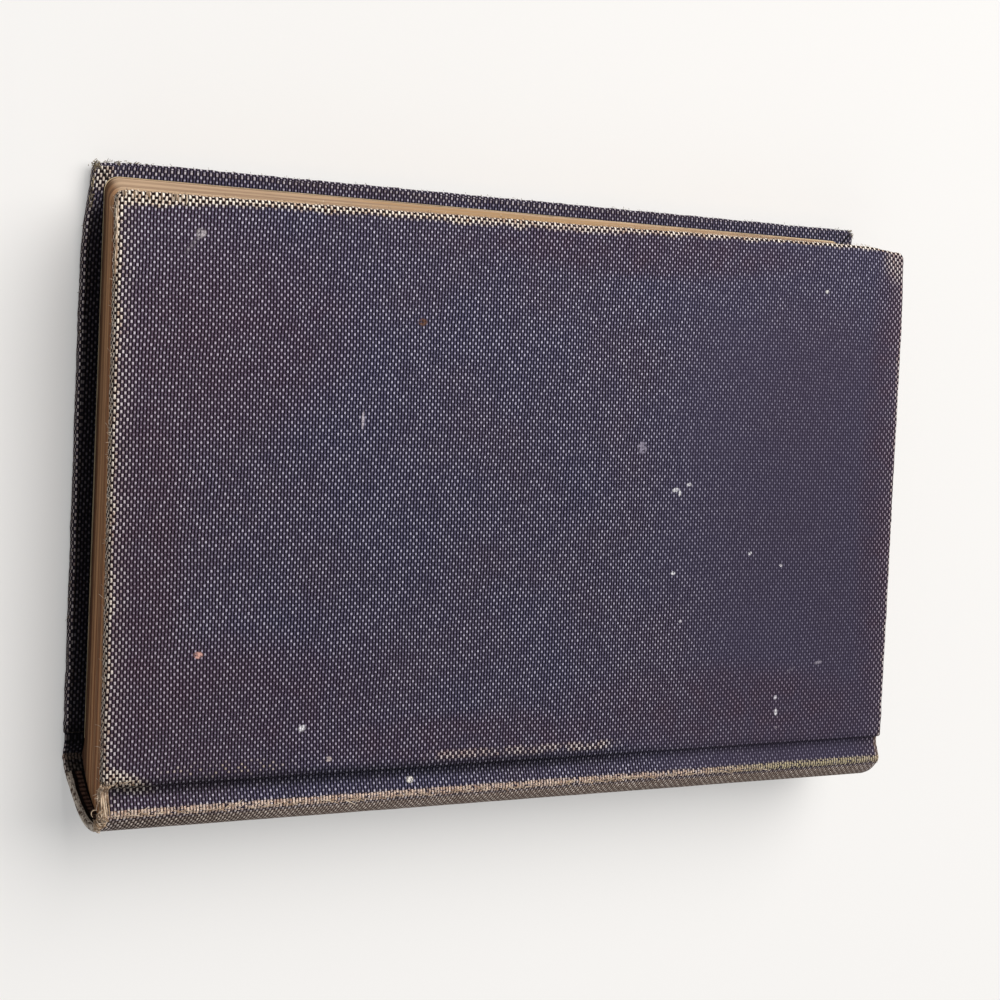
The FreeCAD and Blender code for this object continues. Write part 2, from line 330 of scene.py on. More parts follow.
def half_case(name, end_angle, place, seed, dent):
    """One closed sheet: outside grid, inside grid, and rings between their borders."""
    outer, plain, folded, ridge = cloth_lines(end_angle)
    run = run_length(outer)
    middle = run[ridge] + spine_radius * ridge_angle
    joint = np.abs(run - (run[ridge] - JOINT_MIDDLE))
    spacing = ROW_STEP + ROW_SPREAD * smooth(joint, 4.5, 9.0) * smooth(run, 0.5, 5.0)
    past_ridge = np.arange(len(run)) > ridge + 20
    spacing = np.where(past_ridge, np.minimum(spacing, SPINE_STEP), spacing)
    rows = spaced(run, spacing)
    steps = np.arange(len(run))
    outer, plain, folded = (np.stack([np.interp(rows, steps, line[:, i]) for i in (0, 1)], 1)
                            for line in (outer, plain, folded))
    along = middle - np.interp(rows, steps, run)

    side = np.linspace(-half_length, half_length, SIDE_SAMPLES)
    from_end = smooth(half_length - np.abs(side), 0.6, 7.0)
    picked = spaced(side - side[0], COLUMN_STEP + COLUMN_SPREAD * from_end)
    columns = np.interp(picked, np.arange(SIDE_SAMPLES), side) / half_length
    thickness = np.linalg.norm(folded - outer, axis=1)
    rounding = np.minimum(edge_round, RIM_SHARE * thickness)
    x = columns[None, :] * (half_length - rounding)[:, None]
    shape = x.shape
    v = np.broadcast_to(along[:, None], shape)

    # The folded inside stands at the head and tail, the plain one between
    fold = smooth(np.abs(x), turned_x - SOFT_EDGE, turned_x + SOFT_EDGE)
    sheet_y = np.broadcast_to(outer[:, :1], shape)
    inner = plain[:, None, :] + (folded - plain)[:, None, :] * fold[..., None]
    on_board = smooth(plain[:, 0], board_foot, board_foot + 0.2)
    on_board = on_board * (1 - smooth(plain[:, 0], turned_y - SOFT_EDGE, turned_y + SOFT_EDGE))
    drop = WINDOW_DROP * on_board[:, None] * (1 - fold)
    cut = half_length - edge_round, fore_inset, corner_round - edge_round
    outer_x, outer_y, in_corner, way_x, way_y = round_corner(x, sheet_y, *cut)
    inner_x, inner_y, *_ = round_corner(x, inner[..., 0], *cut)

    # A corner that has been dropped on is pushed in, most at its tip
    push_x, push_y = pushed_in(x, sheet_y, dent)
    outer_x, inner_x = outer_x + push_x, inner_x + push_x
    outer_y, inner_y = outer_y + push_y, inner_y + push_y

    # Cloth over board is never quite flat, and its edges wander a little
    swell = 0.05 * waves(x, v, seed, 60) + 0.03 * waves(x, v, seed + 1, 12)
    swell = swell - (swell.max() if place is on_back else 0)
    outer_depth = outer[:, 1:2] - swell
    inner_depth = inner[..., 1] - drop

    # Walk round the border of the grid: fore-edge, tail, spine seam, head
    border = border_walk(*shape)
    i, j = np.divmod(border, shape[1])
    head, tail = j == 0, j == shape[1] - 1
    out_x = np.select([in_corner[i, j], head, tail], [way_x[i, j], -1.0, 1.0], 0.0)
    out_y = np.select([in_corner[i, j], (i == 0) & ~head & ~tail], [way_y[i, j], 1.0], 0.0)
    through, push, length = rim_path(thickness[i], rounding[i])
    wander = 1 + sum(0.10 * waves(x[i, j], sheet_y[i, j], seed + more, longest)
                     for more, longest in ((2, 9), (3, 2.5)))

    def ring(outside, inside, out, scale):
        return outside[i, j] + (inside[i, j] - outside[i, j]) * through + out * push * scale

    ring_x = ring(outer_x, inner_x, out_x, wander)
    ring_y = ring(outer_y, inner_y, out_y, wander)
    ring_depth = ring(outer_depth, inner_depth, 0, 1)
    ring_rigid = np.broadcast_to((rows < ridge)[i], ring_x.shape)

    def carried(x, y, depth, rigid):
        return np.where(rigid[..., None], place(x, y, depth), on_spine(x, y, depth, place)).reshape(-1, 3)

    rigid = np.broadcast_to((rows < ridge)[:, None], shape)
    points = np.concatenate((
        carried(outer_x, outer_y, outer_depth, rigid),
        carried(inner_x, inner_y, inner_depth, rigid),
        carried(ring_x, ring_y, ring_depth, ring_rigid)))

    # Faces: the outside, the inside turned round, and the rings from border to border
    grid, size = grid_faces(*shape), x.size
    loops = [border] + [2 * size + k * len(i) + np.arange(len(i)) for k in range(len(through))]
    loops.append(size + border)
    walls = [loop_faces(b, a) for a, b in zip(loops[:-1], loops[1:])]
    faces = np.concatenate([grid, size + grid[:, ::-1]] + walls)

    # Threads go on round the edge, so the rings count on from the border
    flat_uv = np.stack((x, v), -1).reshape(-1, 2)
    full = thickness[i] + rounding[i] * (np.pi - 2)
    rim_uv = [np.stack((x[i, j] + out_x * s, v[i, j] + out_y * s), 1)
              for s in [0 * full, *length, full]]
    ring_uvs = [np.stack((b, np.roll(b, -1, 0), np.roll(a, -1, 0), a), 1)
                for a, b in zip(rim_uv[:-1], rim_uv[1:])]
    uvs = np.concatenate([flat_uv[grid], flat_uv[grid[:, ::-1]]] + ring_uvs)

    def kept(values, extra, rings):
        """One number a point: outside grid, inside grid and rings."""
        return np.concatenate((values.ravel(), (values + extra).ravel(), rings.ravel()))

    def gap(values, at_rim):
        """Distance from an edge, which is 0 on the rings of that edge."""
        return kept(values, 0, np.where(at_rim, 0.0, values[i, j])[None, :] + 0 * ring_x)

    depth_in = np.cumsum(np.ones(ring_x.shape), 0) / (len(through) + 1)
    print(name, "runs", along[[0, -1]].round(2), "mm from the spine's middle")
    return make_piece(name, points, faces, uvs, inside=kept(0 * x, 1, depth_in),
                      side_gap=gap(half_length - np.abs(x), out_x != 0),
                      fore_gap=gap(half_width - sheet_y, out_y > 0))


def on_spine(x, y, depth, place):
    """The spine's part of the sheet leans between the two ridges."""
    height = book_thickness - depth if place is on_front else depth
    return leaned(x, y, height, ridge_slip)


seam_angle = math.radians(45)
front_cloth = half_case("front_cloth", seam_angle, on_front, 11, FRONT_DENT)
back_cloth = half_case("back_cloth", -seam_angle, on_back, 23, BACK_DENT)

# %% [markdown]
# Each half has two points worked out 1.1 mm either side of its ridge, on a line that slants
# up and out at 38 degrees, because in a cocked book the low part of the spine lies further
# in than the ridge. The halves are baked in place where they were built, and the CAD cloth
# is hidden.

# %% Bake the cloth in place and hide the CAD cloth
HINGE_REACH = 1.1
HINGE_SLANT = math.radians(38)


def at_middle(place, y, depth):
    """A point half way along the book, in metres."""
    return tuple(place(np.array(0.0), np.array(y), np.array(depth)) * MM)


def across_ridge(place, reach):
    """Two points either side of a ridge, the one on the spine's side first and deeper."""
    along, down = reach * math.cos(HINGE_SLANT), reach * math.sin(HINGE_SLANT)
    return [at_middle(place, ridge_y + s * along, -s * down) for s in (-1, 1)]


for piece, body, place, nodes in (
        (front_cloth, "front_cover", on_front, ("front_cover_cloth", "spine_cloth")),
        (back_cloth, "back_cover", on_back, ("back_cover_cloth", "spine_cloth"))):
    start, end = across_ridge(place, HINGE_REACH)
    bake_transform(piece)
    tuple(start)
    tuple(end)
    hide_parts(*nodes)

# %% [markdown]
# ## The pages
# The pages are cut as one block and rounded at the back, and then every leaf slides a
# little on its neighbours. The block is a surface over two parameters: the height of the
# leaf in the stack, and the way round its edge. Near the spine the leaves fan out into
# the shoulders, by the square of the way back. Small steps in and out between groups of
# leaves are what makes it read as paper and not as a slab.

# %% Build the block of pages
block_low, block_high = 3.3, 19.6
page_foot, page_fore, page_end = -58.2, 55.1, 91.3
fore_hollow, page_corner = 1.5, 3.0
back_radius, shoulder_half, shoulder_rise = 10.895, 9.55, 1.4
LEAF_LEVELS = 110


def page_block(name):
    """A leaf's outline at every level of the stack, joined by a wall and closed by two caps."""
    t = np.linspace(0, 1, LEAF_LEVELS)[:, None]
    tilt = 2 * t - 1
    back_y = spine_centre - np.sqrt(back_radius ** 2 - (tilt * shoulder_half) ** 2)
    fore_y = page_fore - fore_hollow * (1 - tilt ** 2)

    # Way round a leaf: back to fore along the head, the fore-edge, and along the tail
    back_part = np.linspace(0, 1, 8, endpoint=False)[None, :]
    flat_part = np.linspace(0, 1, 60, endpoint=False)[None, :]
    turn = np.linspace(0, np.pi / 2, 9)[None, :]
    side_back = back_y + (page_foot - back_y) * back_part
    side_flat = page_foot + (fore_y - page_corner - page_foot) * flat_part
    corner_y = fore_y - page_corner * (1 - np.sin(turn))
    corner_x = -page_end + page_corner * (1 - np.cos(turn))
    side_y = np.concatenate((side_back, side_flat, corner_y), 1)
    side_x = np.concatenate((np.full(side_back.shape, -page_end), np.full(side_flat.shape, -page_end),
                             np.broadcast_to(corner_x, corner_y.shape)), 1)
    fore_x = np.linspace(-page_end + page_corner, page_end - page_corner, 90)[None, 1:-1]
    fore = LEAF_LEVELS, fore_x.shape[1]
    x = np.concatenate((side_x, np.broadcast_to(fore_x, fore), -side_x[:, ::-1]), 1)
    y = np.concatenate((side_y, np.broadcast_to(fore_y, fore), side_y[:, ::-1]), 1)

    rise = np.clip((page_foot - y) / (page_foot - back_y), 0, 1) ** 2
    z = block_low + (block_high - block_low) * t + tilt * shoulder_rise * rise

    # Gatherings of leaves stand in and out, single leaves less, and both wander along the edge
    draw = np.random.default_rng(5)
    gathering = np.interp(np.linspace(0, 15, LEAF_LEVELS), np.arange(16), draw.uniform(-1, 1, 16))
    leaf = draw.uniform(-1, 1, LEAF_LEVELS)
    run = np.cumsum(np.concatenate((np.zeros((LEAF_LEVELS, 1)),
                                    np.hypot(np.diff(x, axis=1), np.diff(y, axis=1))), 1), axis=1)
    inset = (0.10 + 0.07 * gathering[:, None] + 0.07 * leaf[:, None]
             + 0.05 * waves(run, 9 * z, 7, 40) + 0.03 * waves(run, 20 * z, 8, 9))
    inset = np.clip(inset, 0.0, 0.4)
    hold = smooth(y, page_foot - 2, page_foot + 4)
    centre_x = np.clip(x, -page_end + page_corner, page_end - page_corner)
    centre_y = np.minimum(y, fore_y - page_corner)
    away = np.hypot(x - centre_x, y - centre_y) + 1e-9
    x = x - inset * hold * (x - centre_x) / away
    y = y - inset * hold * (y - centre_y) / away

    points = leaned(x, y, z).reshape(-1, 3)
    ring = x.shape[1]
    index = np.arange(LEAF_LEVELS * ring).reshape(LEAF_LEVELS, ring)
    wall = grid_faces(LEAF_LEVELS, ring)
    back = np.stack((index[:-1, -1], index[:-1, 0], index[1:, 0], index[1:, -1]), -1)
    # Caps: each point of the head side is joined to its fellow on the tail side
    half = ring // 2
    caps = []
    for level in (0, LEAF_LEVELS - 1):
        near, far = index[level, :half], index[level, ::-1][:half]
        caps.append(np.stack((near[:-1], near[1:], far[1:], far[:-1]), -1))
    bottom, top = caps
    faces = np.concatenate((wall, back, bottom[:, ::-1], top))
    leaf_uv = np.stack((run, np.broadcast_to(z, run.shape)), -1).reshape(-1, 2)
    ends = smooth(np.abs(x), page_end - page_corner * 0.7, page_end - 0.7)
    return make_piece(name, points, faces, leaf_uv[faces], ends=ends)


pages = page_block("pages")
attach(pages, "book_block")
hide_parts("text_block")

# %% [markdown]
# ## The boards
# Inside the cloth sit two plates of millboard. They show only at their bare back edge
# when a cover is opened, but each must follow its cloth where a corner has been pushed
# in, so both are made here as grids that close over their edges. The push is one shared
# function: a bell over the corner, as deep as the photograph shows.

# %% Boards
board_x, board_fore = 94.6, 57.4
board_low, board_high = 0.4, 2.6


def slab(name, low, high):
    """Two grids of points as one closed piece: a wall runs round their border."""
    grid, border = grid_faces(*low.shape[:2]), border_walk(*low.shape[:2])
    size = low.size // 3
    faces = np.concatenate((grid, size + grid[:, ::-1], loop_faces(border + size, border)))
    return make_piece(name, np.concatenate((low.reshape(-1, 3), high.reshape(-1, 3))), faces)


def board_plate(name, place, dent):
    """A slab whose outline is square but for the round fore corners."""
    x, y = np.meshgrid(np.linspace(-board_x, board_x, 90), np.linspace(board_foot, board_fore, 60))
    x, y, *_ = round_corner(x, y, board_x, board_fore, corner_round - cloth_thickness)
    push_x, push_y = pushed_in(x, y, dent)
    x, y = x + push_x, y + push_y
    return slab(name, place(x, y, board_low + 0 * x), place(x, y, board_high + 0 * x))


front_board = board_plate("front_board_plate", on_front, FRONT_DENT)
back_board = board_plate("back_board_plate", on_back, BACK_DENT)
for piece, body in ((front_board, "front_cover"), (back_board, "back_cover")):
    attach(piece, body)
    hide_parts(body.replace("cover", "board"))
    piece.data.polygons.foreach_set("use_smooth", np.zeros(len(piece.data.polygons), bool))

# %% [markdown]
# ## The endpapers
# The glued-down half of an endpaper lies over the turned-in cloth, the gauze and the
# board, and sinks where each of them ends, because damp paste draws it down. So it is a
# slab whose height follows one path across the cover in the middle and another at the
# two ends, where the cloth is folded in. It runs on through the joint as far as the
# ridge.

# %% Sheets of paper
PLAIN_PATH = [(-62.5, 0.64), (-59.3, 2.0), (-58.6, 2.05), (-57.9, 2.25), (-57.55, 2.7), (-57.2, 2.97),
              (-56.6, 2.95), (-35.3, 2.93), (-33.7, 2.63), (41.2, 2.63), (42.5, 3.0), (53.6, 3.0)]
FOLDED_PATH = [(-62.5, 1.34), (-59.5, 2.40), (-58.0, 2.46), (-57.55, 2.75), (-57.2, 3.0), (53.6, 3.0)]
SHEET_HALF, SHEET_THICKNESS, SHEET_GAP = 90.8, 0.1, 0.03


def grid_lines(low, high, step, *bends):
    """Even places from low to high, and closer ones at both ends and round each bend."""
    close = [np.clip(bend + np.linspace(-1.5, 1.5, 11), low, high) for bend in bends]
    even = [np.arange(low, high, step), [low + 0.1, high - 0.1, high]]
    return np.unique(np.concatenate([*even, *close]).round(3))


def pasted_sheet(name, place, seed):
    """At the folded ends the sheet stops a little shorter of the ridge, where the cloth is thicker."""
    x, y = np.meshgrid(grid_lines(-SHEET_HALF, SHEET_HALF, 3.0, -79.1, 79.1),
                       grid_lines(-62.5, 53.6, 3.0, -61.0, -58.0, -57.0, -34.5, 41.9))
    folded = smooth(np.abs(x), 78.4, 79.7)
    y = np.where(y < -60, -60 + (y + 60) * (1 - 0.16 * folded), y)
    path = np.interp(y, *zip(*PLAIN_PATH)) * (1 - folded) + np.interp(y, *zip(*FOLDED_PATH)) * folded
    under = path + SHEET_GAP + 0.006 * waves(x, y, seed, 35)
    return slab(name, place(x, y, under), place(x, y, under + SHEET_THICKNESS))


# %% [markdown]
# The other half of the fold lies on the shoulder of the pages. Shut, a narrow fold joins
# the two. Both are strips through a few points of a section, given a thickness along
# their normals.


# %% Strips of paper
STRIP_STEPS, STRIP_ROWS = 25, 121


def paper_strip(name, section, half, thickness, carry):
    """A line of (y, depth) points, swept along the spine and thickened by its own normals."""
    section = np.array(section)
    run = run_length(section)
    steps = np.linspace(0, run[-1], STRIP_STEPS)
    line = np.stack([np.interp(steps, run, section[:, i]) for i in (0, 1)], 1)
    kernel = np.array([1, 4, 6, 4, 1]) / 16
    line[2:-2] = np.stack([np.convolve(line[:, i], kernel, "valid") for i in (0, 1)], 1)
    ahead = np.gradient(line, axis=0)
    normal = np.stack((-ahead[:, 1], ahead[:, 0]), 1) / np.linalg.norm(ahead, axis=1)[:, None]
    loop = np.concatenate((line + normal * thickness / 2, (line - normal * thickness / 2)[::-1]))
    x = np.linspace(-half, half, STRIP_ROWS)[:, None]
    ripple = 0.01 * waves(x, loop[None, :, 0], 31, 40)
    points = carry(x + 0 * loop[None, :, 0], loop[None, :, 0] + 0 * x, loop[None, :, 1] + ripple)
    count = len(loop)
    index = np.arange(STRIP_ROWS * count).reshape(STRIP_ROWS, count)
    wall = np.concatenate([loop_faces(index[i], index[i + 1]) for i in range(STRIP_ROWS - 1)])
    half_count = count // 2
    ends = []
    for row, turned in ((index[0], False), (index[-1], True)):
        cap = np.stack((row[:half_count - 1], row[1:half_count], row[::-1][1:half_count],
                        row[::-1][:half_count - 1]), -1)
        ends.append(cap if turned else cap[:, ::-1])
    return make_piece(name, points.reshape(-1, 3), np.concatenate([wall] + ends))


def high_leaf(x, y, depth):
    """Onto the pages at the front cover's side."""
    return leaned(x, y, book_thickness - depth)


def low_leaf(x, y, depth):
    """Onto the pages at the back cover's side."""
    return leaned(x, y, depth)


SHOULDER = [(-58.1, 3.10), (-59.0, 3.03), (-60.0, 2.80), (-60.9, 2.35), (-61.6, 1.86)]
FOLD = [(-61.50, 1.72), (-61.75, 1.62), (-62.1, 1.50)]
papers = []
for side, leaf, cover in (("front", high_leaf, on_front), ("back", low_leaf, on_back)):
    sheet = pasted_sheet(side + "_pasted_sheet", cover, 51)
    start, end = across_ridge(cover, HINGE_REACH)
    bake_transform(sheet)
    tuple(start)
    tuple(end)
    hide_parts(side + "_pastedown")
    shoulder = paper_strip(side + "_shoulder_paper", SHOULDER, page_end - 0.2, 0.12, leaf)
    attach(shoulder, "book_block")
    fold = paper_strip(side + "_folded_paper", FOLD, SHEET_HALF, 0.06, cover)
    start, end = at_middle(cover, *FOLD[0]), at_middle(cover, *FOLD[-1])
    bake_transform(fold)
    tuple(start)
    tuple(end)
    papers += [sheet, shoulder, fold]

# %% [markdown]
# ## Frayed threads
# Where cloth has worn through at an edge, its threads stand loose. Each one is a thin
# tube of six sides round a short path. Straight ones start from an edge, point outwards
# and bend as the square of the way along. Tangled ones are arcs of small circles that
# lie at every angle. All of one kind are worked out at once, as one array.

# %% Loose threads
PATH_POINTS, TUBE_SIDES = 8, 6


def tubes(paths, radius):
    """Six-sided tubes round many paths, thin at their tips, with both ends closed."""
    ahead = np.gradient(paths, axis=1)
    ahead /= np.linalg.norm(ahead, axis=2, keepdims=True) + 1e-9
    side = np.cross(ahead, np.array([0.31, 0.22, 0.92]))
    side /= np.linalg.norm(side, axis=2, keepdims=True) + 1e-9
    up = np.cross(side, ahead)
    taper = np.sin(np.linspace(0.25, 0.92, PATH_POINTS) * np.pi) ** 0.5
    turn = np.arange(TUBE_SIDES) * 2 * np.pi / TUBE_SIDES
    cos, sin = np.cos(turn)[:, None], np.sin(turn)[:, None]
    ring = side[:, :, None] * cos + up[:, :, None] * sin
    points = paths[:, :, None] + ring * (radius[:, None] * taper)[..., None, None]
    index = np.arange(points.size // 3).reshape(points.shape[:3])
    near, far = index[:, :-1], index[:, 1:]
    wall = np.stack((near, np.roll(near, -1, 2), np.roll(far, -1, 2), far), -1).reshape(-1, 4)
    first, last = index[:, 0], index[:, -1]
    caps = [first[:, [3, 2, 1, 0]], first[:, [5, 4, 3, 0]], last[:, [0, 1, 2, 3]], last[:, [0, 3, 4, 5]]]
    return points.reshape(-1, 3), np.concatenate([wall] + caps)


def straight_threads(draw, start, end, count, length, way, spread, curl):
    """Threads from points between start and end, pointing one way with some spread."""
    base = np.array(start) + (np.array(end) - np.array(start)) * draw.uniform(0, 1, (count, 1))
    base = base + draw.normal(0, 0.12, (count, 3))
    ahead = np.array(way) + draw.normal(0, spread, (count, 3))
    bend = draw.normal(0, curl, (count, 3))
    size = draw.uniform(*length, (count, 1, 1))
    s = np.linspace(0, 1, PATH_POINTS)[None, :, None]
    return base[:, None] + size * (ahead[:, None] * s + bend[:, None] * s * s)


def tangled_threads(draw, centre, reach, count, radius):
    """Arcs of circles of every tilt round a centre."""
    base = np.array(centre) + draw.normal(0, 1, (count, 3)) * np.array(reach)
    first = draw.normal(0, 1, (count, 3))
    first /= np.linalg.norm(first, axis=1, keepdims=True)
    second = np.cross(first, draw.normal(0, 1, (count, 3)))
    second /= np.linalg.norm(second, axis=1, keepdims=True)
    turn = draw.uniform(0, 6, (count, 1))
    turn = (turn + np.linspace(0, 1, PATH_POINTS) * draw.uniform(1.4, 3.0, (count, 1)))[..., None]
    size = draw.uniform(*radius, (count, 1, 1))
    return base[:, None] + size * (first[:, None] * np.cos(turn) + second[:, None] * np.sin(turn))


def frays(name, place, bundles, seed):
    """All the bundles of one cover as one piece. The third term of a bundle is its count."""
    draw = np.random.default_rng(seed)
    paths = np.concatenate([make(draw, *terms) for make, terms, _ in bundles])
    radius = np.concatenate([np.full(terms[2], thick) for _, terms, thick in bundles])
    radius = radius * draw.uniform(0.7, 1.3, len(radius))
    x, y, depth = paths[..., 0], paths[..., 1], paths[..., 2]
    depth = depth + np.interp(y, [ridge_y, -half_width - groove_floor, -half_width - 0.3, -half_width],
                              [0, groove_depth, groove_depth, 0])
    on_board = smooth(y, ridge_y - 0.8, ridge_y + 0.2)[..., None]
    placed = place(x, y, depth) * on_board + on_spine(x, y, depth, place) * (1 - on_board)
    placed[..., 2] = np.clip(placed[..., 2], 0.1, book_thickness + 0.3)
    points, faces = tubes(placed, radius)
    tone = np.repeat(draw.uniform(0, 1, len(paths)), PATH_POINTS * TUBE_SIDES)
    return make_piece(name, points, faces, tone=tone)


# %% Threads of the front cover and the head of the spine
def straight(start, end, count, length, way, spread, curl, thick):
    """A bundle of straight threads. Places are (x, y, depth) on the cover."""
    return straight_threads, (start, end, count, length, way, spread, curl), thick


def tangle(centre, reach, count, radius, thick):
    """A bundle of tangled threads."""
    return tangled_threads, (centre, reach, count, radius), thick


front_frays = frays("front_frays", on_front, [
    # Rim of the head, rim of the fore-edge, and the bare corner between them
    straight((-95.0, -57, 0.7), (-95.0, 57, 0.7), 260, (0.25, 0.7), (-0.2, 0.5, 0.1), 0.45, 0.3, 0.05),
    straight((-95.0, -57, 1.9), (-95.0, 57, 1.9), 200, (0.3, 0.9), (-0.12, 0.6, 0.3), 0.4, 0.3, 0.05),
    straight((-95, 57.9, 0.6), (85, 57.9, 0.6), 300, (0.15, 0.45), (0.0, 0.6, 0.5), 0.45, 0.3, 0.045),
    straight((-95, 57.7, 0.1), (-80, 57.7, 0.1), 34, (0.8, 2.0), (0.0, -1.0, -0.05), 0.06, 0.04, 0.10),
    straight((-95.0, 57.2, 0.25), (-95.0, 44.0, 0.45), 46, (1.6, 4.0),
             (0.0, -1.0, 0.0), 0.03, 0.02, 0.11),
    # The cut end of the cloth beside the groove, and the knot that it ends in at the ridge
    straight((-95.1, -57.4, -0.05), (-93.7, -57.4, -0.05), 30, (3.5, 6.2),
             (0.0, -1.0, 0.0), 0.035, 0.04, 0.13),
    straight((-95.2, -57.2, 0.6), (-95.0, -57.2, 1.4), 14, (3.5, 6.2),
             (0.0, -1.0, -0.05), 0.05, 0.05, 0.13),
    straight((-95.0, -58.0, 0.4), (-94.6, -63.0, 0.2), 40, (0.4, 1.3), (-0.4, -0.6, 0.2), 0.4, 0.4, 0.07),
    tangle((-94.9, -63.5, 0.35), (0.45, 0.7, 0.35), 80, (0.3, 0.9), 0.09),
    tangle((-95.0, -64.9, 1.4), (0.30, 0.45, 0.45), 60, (0.3, 0.8), 0.09),
    tangle((-95.0, -66.2, 2.7), (0.25, 0.30, 0.6), 34, (0.2, 0.6), 0.08),
    # Fibres that lie along the rubbed ridge and along the board's edge
    straight((-94, -63.3, 0.02), (60, -63.3, 0.02), 190, (0.8, 2.6), (1.0, 0.0, 0.0), 0.25, 0.12, 0.07),
    straight((-95, -57.0, 0.02), (-86, -57.0, 0.02), 26, (0.5, 1.3), (0.3, 0.4, -0.1), 0.5, 0.3, 0.07),
    tangle((94.3, -62.6, 0.4), (0.3, 0.5, 0.15), 26, (0.2, 0.5), 0.05),
], 41)
start, end = across_ridge(on_front, HINGE_REACH)
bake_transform(front_frays)
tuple(start)
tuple(end)

back_frays = frays("back_frays", on_back, [
    tangle((-92.7, 56.9, 2.6), (0.6, 0.35, 0.25), 70, (0.15, 0.45), 0.07),
    straight((-93.9, 48, 2.8), (-93.1, 57.0, 2.9), 60, (0.3, 1.0), (0.1, 0.9, 0.0), 0.3, 0.2, 0.07),
    straight((-93, 57.6, 2.5), (-80, 57.7, 2.5), 50, (0.3, 0.8), (0.7, 0.1, 0.1), 0.35, 0.2, 0.07),
    straight((-95, -57, 2.4), (-95, 45, 2.4), 160, (0.2, 0.6), (-0.3, 0.3, 0.2), 0.5, 0.3, 0.04),
    straight((-92, 57.8, 2.5), (95, 57.8, 2.5), 220, (0.15, 0.4), (0.0, 0.4, 0.3), 0.5, 0.3, 0.04),
    tangle((94.3, 57.1, 2.4), (0.4, 0.4, 0.4), 30, (0.2, 0.5), 0.06),
], 43)
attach(back_frays, "back_cover")

# %% [markdown]
# ## Shader sums
# A finish is mostly arithmetic on patterns. A small class wraps one socket, so that a
# pattern can be added, multiplied and compared as in a formula, and each sign adds one
# Math node. Every other node comes from one method that takes a type, its settings and
# its values.


# %% Values and finishes
def linear(red, green, blue):
    """A colour as read off a screen, 0 to 255, as the light that Blender counts with."""
    parts = np.array([red, green, blue]) / 255
    light = np.where(parts <= 0.04045, parts / 12.92, ((parts + 0.055) / 1.055) ** 2.4)
    return (*[float(c) for c in light], 1.0)


class Value:
    """A number that changes over a surface."""

    def __init__(self, finish, socket):
        self.finish, self.socket = finish, socket

    def math(self, operation, *terms):
        return self.finish.node("ShaderNodeMath", {"operation": operation}, dict(enumerate(terms)))

    def __add__(self, other):
        return self.math("ADD", self, other)

    def __sub__(self, other):
        return self.math("SUBTRACT", self, other)

    def __rsub__(self, other):
        return self.math("SUBTRACT", other, self)

    def __mul__(self, other):
        return self.math("MULTIPLY", self, other)

    __radd__, __rmul__ = __add__, __mul__

    def cosine(self):
        return self.math("COSINE", self)

    def size(self):
        return self.math("ABSOLUTE", self)

    def sign(self):
        return self.math("SIGN", self)

    def floor(self):
        return self.math("FLOOR", self)

    def larger(self, other):
        return self.math("MAXIMUM", self, other)

    def between(self, low, high, start=0.0, end=1.0):
        """start below low, end above high, and an even bend between."""
        return self.finish.node("ShaderNodeMapRange", {"interpolation_type": "SMOOTHSTEP"}, {
            "Value": self, "From Min": low, "From Max": high, "To Min": start, "To Max": end})

    def fades(self, low, high):
        """1 below low, 0 above high."""
        return self.between(low, high, 1.0, 0.0)


